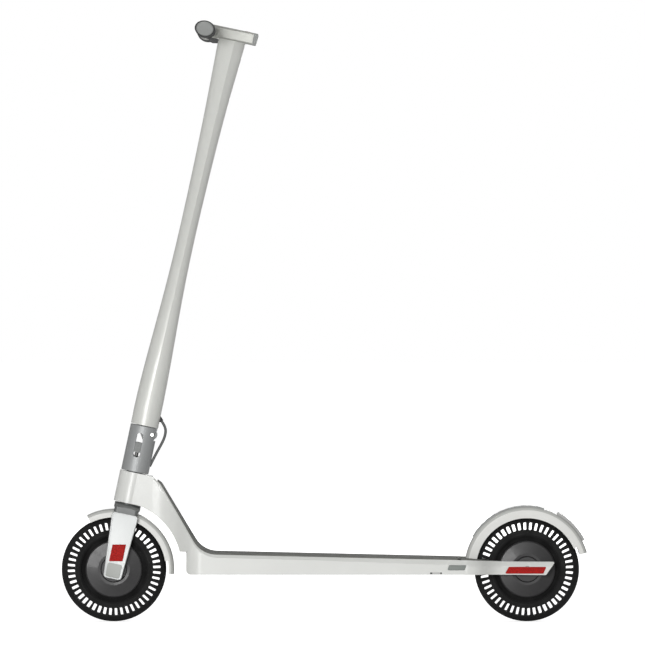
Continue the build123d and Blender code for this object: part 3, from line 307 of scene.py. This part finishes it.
def add_rings(bm, rings, closed=False, caps=True):
    """Skin a list of closed rings of points with quads."""
    rows = [[bm.verts.new(point) for point in ring] for ring in rings]
    count = len(rows[0])
    pairs = list(zip(rows, rows[1:]))
    if closed:
        pairs.append((rows[-1], rows[0]))
    for one, two in pairs:
        for i in range(count):
            j = (i + 1) % count
            bm.faces.new((one[i], one[j], two[j], two[i]))
    if caps and not closed:
        bm.faces.new(rows[0])
        bm.faces.new(rows[-1])
    return bm


def skin(rings, closed=False, caps=True):
    """A new bmesh skinned over rings."""
    return add_rings(bmesh.new(), rings, closed, caps)


def rounded(points, radii, step_deg=7.5):
    """A closed 2-D outline with its corners rounded."""
    if isinstance(radii, (int, float)):
        radii = [radii] * len(points)
    result = []
    for i, corner in enumerate(points):
        here = Vector(corner)
        before = (Vector(points[i - 1]) - here)
        after = (Vector(points[(i + 1) % len(points)]) - here)
        radius = radii[i]
        angle = before.angle(after)
        if radius <= 0.0 or angle > math.radians(179.0):
            result.append(here)
            continue
        reach = min(radius / math.tan(angle / 2), 0.49 * before.length, 0.49 * after.length)
        radius = reach * math.tan(angle / 2)
        start = here + before.normalized() * reach
        end = here + after.normalized() * reach
        bisector = (before.normalized() + after.normalized()).normalized()
        centre = here + bisector * (radius / math.sin(angle / 2))
        turn = math.pi - angle
        steps = max(2, int(math.degrees(turn) / step_deg))
        u, v = start - centre, end - centre
        for k in range(steps + 1):
            share = k / steps
            blend = (u * math.sin(turn * (1 - share)) + v * math.sin(turn * share)) / math.sin(turn)
            result.append(centre + blend)
    return result


def inset(points, distance):
    """A closed 2-D outline moved inwards along its own normals."""
    area = sum(a.x * b.y - b.x * a.y for a, b in zip(points, points[1:] + points[:1]))
    sign = 1.0 if area > 0 else -1.0
    moved = []
    count = len(points)
    for i, here in enumerate(points):
        before = (here - points[i - 1]).normalized()
        after = (points[(i + 1) % count] - here).normalized()
        normal = Vector((-(before.y + after.y), before.x + after.x))
        if normal.length < 1e-9:
            moved.append(here.copy())
            continue
        normal.normalize()
        stretch = max(0.5, normal.dot(Vector((-before.y, before.x))))
        moved.append(here + normal * (sign * distance / stretch))
    return moved


def stack(outline, levels, to_world):
    """Skin one outline through levels of (inset, depth); to_world(u, v, depth) gives the point."""
    rings = []
    for distance, depth in levels:
        ring = inset(outline, distance) if distance else outline
        rings.append([to_world(point.x, point.y, depth) for point in ring])
    return skin(rings)



def global_side(u, v, depth):
    """Maps an (x, z) outline and a y depth."""
    return place(u, depth, v)





def cut(bm, *cutters, operation="DIFFERENCE"):
    """Exact boolean of a bmesh with closed cutters."""
    def as_object(part):
        bmesh.ops.recalc_face_normals(part, faces=part.faces)
        mesh = bpy.data.meshes.new("boolean")
        part.to_mesh(mesh)
        part.free()
        made = bpy.data.objects.new("boolean", mesh)
        bpy.context.scene.collection.objects.link(made)
        return made

    bmesh.ops.remove_doubles(bm, verts=bm.verts, dist=1e-7)
    target = as_object(bm)
    tools = [as_object(cutter) for cutter in cutters]
    for tool in tools:
        step = target.modifiers.new("cut", "BOOLEAN")
        step.solver = "EXACT"
        step.operation = operation
        step.object = tool
    bpy.context.view_layer.update()
    evaluated = target.evaluated_get(bpy.context.evaluated_depsgraph_get())
    result = bmesh.new()
    result.from_mesh(evaluated.to_mesh())
    for thing in [target, *tools]:
        data = thing.data
        bpy.data.objects.remove(thing)
        bpy.data.meshes.remove(data)
    return result


def block(to_world, u, v, depth):
    """A box cutter from three ranges, through to_world."""
    outline = [Vector((u[0], v[0])), Vector((u[1], v[0])), Vector((u[1], v[1])), Vector((u[0], v[1]))]
    return stack(outline, [(0.0, depth[0]), (0.0, depth[1])], to_world)


# ------------------------------------------------------------------ CAD nodes, refined


def node_mesh(node):
    """The mesh of a CAD node as a clean bmesh, its flat faces whole again."""
    bm = bmesh.new()
    bm.from_mesh(NODES[node].data)
    bmesh.ops.remove_doubles(bm, verts=bm.verts, dist=2e-6)
    bmesh.ops.dissolve_degenerate(bm, edges=bm.edges, dist=2e-6)
    bmesh.ops.dissolve_limit(bm, angle_limit=math.radians(0.5), verts=bm.verts, edges=bm.edges)
    return bm


def soften(bm, width, over=28.0, segments=2):
    """Round the hard edges of a bmesh, a width in millimetres, so that they catch the light."""
    bmesh.ops.remove_doubles(bm, verts=bm.verts, dist=2e-6)
    edges = [e for e in bm.edges if len(e.link_faces) == 2 and e.calc_face_angle(0.0) > math.radians(over)]
    if edges:
        bmesh.ops.bevel(bm, geom=edges, offset=width * MM, offset_type="OFFSET", segments=segments,
                        profile=0.5, affect="EDGES", clamp_overlap=True)
    return bm


def refine(node, body, material, width=0.5, slot=None):
    """A CAD node shown with softened edges."""
    made = piece(node + "_surface", soften(node_mesh(node), width), body, material, 32.0, node)
    return made


def clothe(node, material):
    """A CAD node shown as it is, with a material."""
    mesh = NODES[node].data
    mesh.materials.clear()
    mesh.materials.append(MATERIALS[material])
    for polygon in mesh.polygons:
        polygon.material_index = 0


REFINED = (
    ("bottom_cover", "frame", "crown", 0.5),
    ("bottom_cover_screws", "frame", "steel", 0.2),
    ("charge_socket", "frame", "dark_plastic", 0.2),
    ("rear_side_reflectors", "frame", "red", 0.5),
    ("kickstand_bracket", "frame", "steel", 0.3),
    ("kickstand_leg", "stand", "silver", 0.8),
    ("rear_axle_nuts", "frame", "steel", 0.4),
    ("front_axle_nuts", "steerer", "steel", 0.4),
    # The fork crown's dark grey is painted shade: the crown sits in shadow under the head tube.
    ("fork_crown", "steerer", "crown", 0.9),
    ("fork_legs", "steerer", "silver", 0.7),
    ("front_axle_covers", "steerer", "cover", 0.5),
    ("front_side_reflectors", "steerer", "red", 0.5),
    ("folding_collar", "steerer", "collar", 0.6),
    ("front_fender", "steerer", "white_fender", 0.5),
    ("front_fender_screws", "steerer", "steel", 0.3),
    ("stem_hinge_pin", "steerer", "steel", 0.3),
    ("slider_block", "slider", "crown", 0.6),
    ("stem_knuckle", "stem", "crown", 0.6),
    ("cable_gland", "stem", "dark_plastic", 0.4),
    ("handlebar_pod", "stem", "pod", 0.5),
    ("pod_end_cap", "stem", "grey_plastic", 0.5),
    ("display_lens", "stem", "glass", 0.4),
    ("headlight_lens", "stem", "clear", 0.4),
    ("control_board", "stem", "board", 0.1),
    ("handlebar_arms", "stem", "pod", 0.6),
    ("handlebar_tubes", "stem", "steel", 0.3),
    ("grips", "stem", "grip", 0.5),
    ("grip_end_caps", "stem", "grey_plastic", 0.5),
    ("brake_lever", "brake", "dark_plastic", 0.7),
    ("throttle_lever", "throttle", "dark_plastic", 0.7),
    ("power_button", "button", "red", 0.4),
    ("rear_fender", "rear_guard", "white_fender", 0.5),
    ("fender_foot_pad", "rear_guard", "pad", 0.4),
    ("tail_light_housing", "rear_guard", "lamp", 0.7),
    ("tail_light_lens", "rear_guard", "red", 0.7),
    ("brake_pad", "rear_guard", "grip", 0.3),
    ("charge_port_flap", "port_flap", "flap", 0.1),
)
for row in REFINED:
    refine(*row)


def paint_fender_crown_shade(name):
    """Painted shade: the crown of a fender, every face not turned sideways, in a darker grey than its white
    sides.
    """
    mesh = bpy.data.objects[name].data
    mesh.materials.append(MATERIALS["fender_crown_shade"])
    for polygon in mesh.polygons:
        # Faces not turned sideways, the crown and its rounded edges, get the painted shade.
        if abs(polygon.normal.y) < 0.97:
            polygon.material_index = 1


paint_fender_crown_shade("front_fender_surface")
paint_fender_crown_shade("rear_fender_surface")

CLOTHED = {
    "battery_pack": "wrap", "motor_controller": "dark_plastic", "headset_bearings": "steel",
    "rear_fender_pin": "steel", "rear_fender_spring": "steel", "rear_axle": "steel", "front_axle": "steel",
    "rear_motor_stator": "copper", "front_motor_stator": "copper", "slider_guide_rod": "steel",
    "front_wheel_bearings": "steel", "rear_wheel_bearings": "steel",
    "stem_tube": "stem",
    "front_tyre": "tread", "rear_tyre": "tread", "front_hub_shell": "rim", "rear_hub_shell": "rim",
    "front_hub_covers": "hub", "rear_hub_covers": "hub",
}
for node, material in CLOTHED.items():
    clothe(node, material)


def make_spring():
    """Lock spring, shown with its CAD shape on a mesh of its own."""
    spring = piece("lock_spring_coil", node_mesh("lock_spring"), "steerer", "steel", 60.0, "lock_spring")
    low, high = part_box("lock_spring")
    floor = Vector((high.x + low.x, 0.0, 0.0)) / 2
    floor.z = low.z
    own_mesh(spring)


make_spring()


# ------------------------------------------------------------------ deck frame and mat

DECK_HALF = 75.0
NECK_HALF = 26.0
ARM_HALF = 45.0
FLARE_X = (-312.0, -222.0)
TAPER_X = (262.0, 328.0)
MAT_MARGIN = 5.5
MAT_RISE = 3.0
MAT_X = (-307.0, 254.0)
MAT_LEAD = 7.0
# The dark rubber strips on the rear arm tops are painted shade.
ARM_SHADE_END = 326.0
ARM_SHADE_INNER = 33.0
CATCH_X = (193.5, 215.0)
CATCH_Z = (88.2, 91.2)
CATCH_DEPTH = 1.2
GROOVE_PITCH = 5.0
GROOVE_DEPTH = 0.7
# (x, width) of the bevel along both top edges of the frame
EDGE_BEVEL = ((-320.0, 2.0), (-240.0, 3.0), (-193.0, 5.5), (-17.0, 6.0), (211.0, 9.0), (262.0, 9.0),
              (328.0, 8.0), (440.0, 8.0))


def along(stations, x):
    """Value at x on a line through stations of (x, value)."""
    for (x0, v0), (x1, v1) in zip(stations, stations[1:]):
        if x <= x1:
            return v0 + (v1 - v0) * max(0.0, (x - x0) / (x1 - x0))
    return stations[-1][1]


def s_curve(x_range, share, from_half, to_half):
    """Stations of (x, half width) along one sideways curve of the frame's plan."""
    middle = x_range[0] + share * (x_range[1] - x_range[0])
    stations = []
    for k in range(25):
        t = k / 24
        ends = ((1 - t) ** 3, t ** 3)
        inner = 3 * t * (1 - t)
        x = ends[0] * x_range[0] + inner * middle + ends[1] * x_range[1]
        y = (ends[0] + inner * (1 - t)) * from_half + (ends[1] + inner * t) * to_half
        stations.append((x, y))
    return stations


PLAN = s_curve(FLARE_X, 0.62, NECK_HALF, DECK_HALF) + s_curve(TAPER_X, 0.5, DECK_HALF, ARM_HALF)


def top_line(spacing):
    """Points (x, z) and upward normals along the top of the painted frame, from the neck to the arm tips."""
    corners = [(-309.0, 260.9), (-297.1, 250.0), (-222.5, 123.9), (262.0, 113.0), (328.0, 109.9),
               (424.0, 109.4), (424.0, 0.0)]
    outline = rounded(corners, [0, 20.0, 49.0, 0, 0, 0, 0], 4.0)[:-1]
    line = []
    for one, two in zip(outline, outline[1:]):
        steps = max(1, int((two - one).length / spacing))
        line += [one.lerp(two, k / steps) for k in range(steps)]
    line.append(outline[-1])
    result = []
    for k, here in enumerate(line):
        run = (line[min(k + 1, len(line) - 1)] - line[max(k - 1, 0)]).normalized()
        result.append((here, Vector((-run.y, run.x))))
    return result


def edge_cutter(side):
    """Swept wedge that takes the bevel off one top edge of the frame."""
    reach = 12.0
    rings = []
    for here, normal in top_line(8.0):
        half = along(PLAN, here.x)
        width = along(EDGE_BEVEL, here.x)
        corners = ((half - width - reach, reach), (half + reach, -width - reach), (half + reach, reach))
        rings.append([place(here.x + normal.x * rise, side * y, here.y + normal.y * rise)
                      for y, rise in corners])
    return skin(rings)


def make_frame():
    """The cast frame with a bevel along both its top edges."""
    pocket = block(global_side, CATCH_X, CATCH_Z, (-DECK_HALF + CATCH_DEPTH, -DECK_HALF - 1.0))
    bm = cut(node_mesh("deck_frame"), edge_cutter(1), edge_cutter(-1), pocket)
    piece("deck_frame_surface", bm, "frame", "white", 24.0, "deck_frame")


def make_catch():
    """Small moulded catch let into the lower left edge of the deck, with a dark slot at each end."""
    face = (-DECK_HALF + CATCH_DEPTH, -DECK_HALF + 0.3)
    (x0, x1), (z0, z1) = CATCH_X, CATCH_Z
    body = block(global_side, (x0 + 4.0, x1 - 3.0), (z0 + 0.2, z1 - 0.2), face)
    piece("side_catch", body, "frame", "lamp")
    for name, x in (("side_catch_slot_front", (x0, x0 + 4.0)), ("side_catch_slot_rear", (x1 - 3.0, x1))):
        piece(name, block(global_side, x, (z0, z1), (face[0], face[0] - 0.3)), "frame", "dark_plastic")


def make_arm_top_shade():
    """Painted shade: tapered strips of dark mat rubber along the tops of the two rear arms, where the arm
    tops lie in shade.
    """
    for side, name in ((1, "arm_top_shade_right"), (-1, "arm_top_shade_left")):
        rings = []
        for here, normal in top_line(6.0):
            if not MAT_X[1] - 12.0 <= here.x <= ARM_SHADE_END:
                continue
            outer = along(PLAN, here.x) - along(EDGE_BEVEL, here.x) - 0.4
            share = (here.x - MAT_X[1]) / (ARM_SHADE_END - MAT_X[1])
            rise = (MAT_RISE - 0.1) * (1.0 - 0.88 * min(1.0, max(0.0, share)))
            corners = ((ARM_SHADE_INNER, -0.2), (ARM_SHADE_INNER, rise), (outer - 0.5, rise),
                       (outer, rise - 0.2), (outer, -0.2))
            if outer > ARM_SHADE_INNER + 1.5:
                rings.append([place(here.x + normal.x * up, side * y, here.y + normal.y * up)
                              for y, up in corners])
        # Each strip is painted shade in mat rubber on an arm top.
        piece(name, skin(rings), "frame", "mat")


def make_mat():
    """Rubber mat with fine grooves that run lengthwise and close in towards the neck."""
    rings = []
    for here, normal in top_line(6.0):
        if not MAT_X[0] <= here.x <= MAT_X[1]:
            continue
        half = along(PLAN, here.x)
        half -= max(MAT_MARGIN, along(EDGE_BEVEL, here.x) + 0.4)
        top = MAT_RISE * min(1.0, 0.3 + (here.x - MAT_X[0]) / MAT_LEAD)
        groove = min(GROOVE_DEPTH, top / 2)
        count = int((DECK_HALF - MAT_MARGIN) / GROOVE_PITCH)
        profile = [(-half, 0.0), (-half, top - 0.6), (-half + 0.6, top)]
        for k in range(1 - count, count):
            centre = half * k / count
            gap = 0.14 * half / count
            profile += [(centre - 2 * gap, top), (centre - gap, top - groove),
                        (centre + gap, top - groove), (centre + 2 * gap, top)]
        profile += [(half - 0.6, top), (half, top - 0.6), (half, 0.0)]
        rings.append([place(here.x + normal.x * rise, y, here.y + normal.y * rise) for y, rise in profile])
    piece("deck_mat_surface", skin(rings), "frame", "mat", 30.0, "deck_mat")


# ------------------------------------------------------------------ fold cable

CABLE_DIAMETER = 0.005
CABLE_ROUTE = (
    (29.0, 281.6), (35.6, 275.4), (40.2, 266.4), (40.3, 253.0),
    (36.4, 238.0), (31.4, 222.0), (27.6, 207.8), (24.6, 196.4),
)


def make_cable():
    """Fold cable from the gland on the stem down into the collar, on one smooth curve."""
    curve = bpy.data.curves.new("fold_cable_route", "CURVE")
    curve.dimensions = "3D"
    spline = curve.splines.new("NURBS")
    spline.points.add(len(CABLE_ROUTE) - 1)
    for point, (p, a) in zip(spline.points, CABLE_ROUTE):
        point.co = (*steer(p, 0.0, a), 1.0)
    spline.order_u = 3
    spline.use_endpoint_u = True
    spline.resolution_u = 10
    guide = bpy.data.objects.new("fold_cable_route", curve)
    line = bpy.data.meshes.new_from_object(guide)
    path = [vert.co.copy() for vert in line.vertices]
    bpy.data.objects.remove(guide)
    bpy.data.meshes.remove(line)
    rings = []
    across = Vector((0.0, CABLE_DIAMETER / 2, 0.0))
    for k, here in enumerate(path):
        run = (path[min(k + 1, len(path) - 1)] - path[max(k - 1, 0)]).normalized()
        other = run.cross(across)
        rings.append([here + across * math.cos(math.tau * i / 20) + other * math.sin(math.tau * i / 20)
                      for i in range(20)])
    cable = piece("fold_cable_jacket", skin(rings), None, "cable", 32.0, "fold_cable")
    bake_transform(cable)


make_frame()
make_catch()
make_mat()
make_arm_top_shade()
make_cable()


# ------------------------------------------------------------------ floor, light and camera


def make_floor():
    """A wide pale floor."""
    bm = bmesh.new()
    half = 40.0
    plan = ((-half, -half), (half, -half), (half, half), (-half, half))
    bm.faces.new([bm.verts.new((x, y, -0.0005)) for x, y in plan])
    mesh = bpy.data.meshes.new("floor")
    bm.to_mesh(mesh)
    bm.free()
    n = Nodes("floor_white")
    seen = n.add("ShaderNodeLightPath").outputs["Is Camera Ray"]
    n.finish(Base_Color=(0.86, 0.86, 0.86, 1.0), Roughness=0.9, Emission_Color=(1.0, 1.0, 1.0, 1.0),
             Emission_Strength=n.glow(seen, 0.04, 0.77), Specular_IOR_Level=0.0)
    mesh.materials.append(n.material)
    floor = bpy.data.objects.new("floor", mesh)
    bpy.context.scene.collection.objects.link(floor)


def make_world():
    """White behind the object, and an even soft light all round it."""
    world = bpy.data.worlds.new("studio")
    bpy.context.scene.world = world
    world.use_nodes = True
    tree = world.node_tree
    tree.nodes.clear()
    seen = tree.nodes.new("ShaderNodeBackground")
    seen.inputs["Color"].default_value = (1.0, 1.0, 1.0, 1.0)
    lit = tree.nodes.new("ShaderNodeBackground")
    lit.inputs["Color"].default_value = (1.0, 1.0, 1.0, 1.0)
    lit.inputs["Strength"].default_value = 0.3
    path = tree.nodes.new("ShaderNodeLightPath")
    mix = tree.nodes.new("ShaderNodeMixShader")
    out = tree.nodes.new("ShaderNodeOutputWorld")
    tree.links.new(path.outputs["Is Camera Ray"], mix.inputs[0])
    tree.links.new(lit.outputs[0], mix.inputs[1])
    tree.links.new(seen.outputs[0], mix.inputs[2])
    tree.links.new(mix.outputs[0], out.inputs["Surface"])


def make_light(name, location, target, size, watts):
    """One square soft light aimed at a point."""
    light = bpy.data.lights.new(name, "AREA")
    light.shape = "SQUARE"
    light.size = size
    light.energy = watts
    made = bpy.data.objects.new(name, light)
    made.location = location
    made.rotation_euler = (Vector(target) - Vector(location)).to_track_quat("-Z", "Y").to_euler()
    bpy.context.scene.collection.objects.link(made)


CAMERA_PLACE = (-0.002, -16.0, 0.66)
CAMERA_AIM_Z = 0.545
CAMERA_LENS = 489.2


def make_camera():
    """A long lens square to the left side of the scooter."""
    data = bpy.data.cameras.new("camera")
    data.lens = CAMERA_LENS
    data.sensor_width = 36.0
    made = bpy.data.objects.new("camera", data)
    made.location = CAMERA_PLACE
    drop = math.atan2(CAMERA_PLACE[2] - CAMERA_AIM_Z, -CAMERA_PLACE[1])
    made.rotation_euler = (math.pi / 2 - drop, 0.0, 0.0)
    bpy.context.scene.collection.objects.link(made)
    bpy.context.scene.camera = made


make_floor()
make_world()
make_light("key", (-1.4, -6.0, 0.95), (0.0, 0.0, 0.5), 1.8, 195.0)
make_light("edge", (0.3, -0.5, 3.2), (0.0, 0.0, 0.4), 0.6, 5.0)
make_light("back", (1.5, 6.0, 2.0), (0.0, 0.0, 0.5), 2.4, 130.0)
make_camera()
bpy.context.scene.view_settings.view_transform = "Standard"
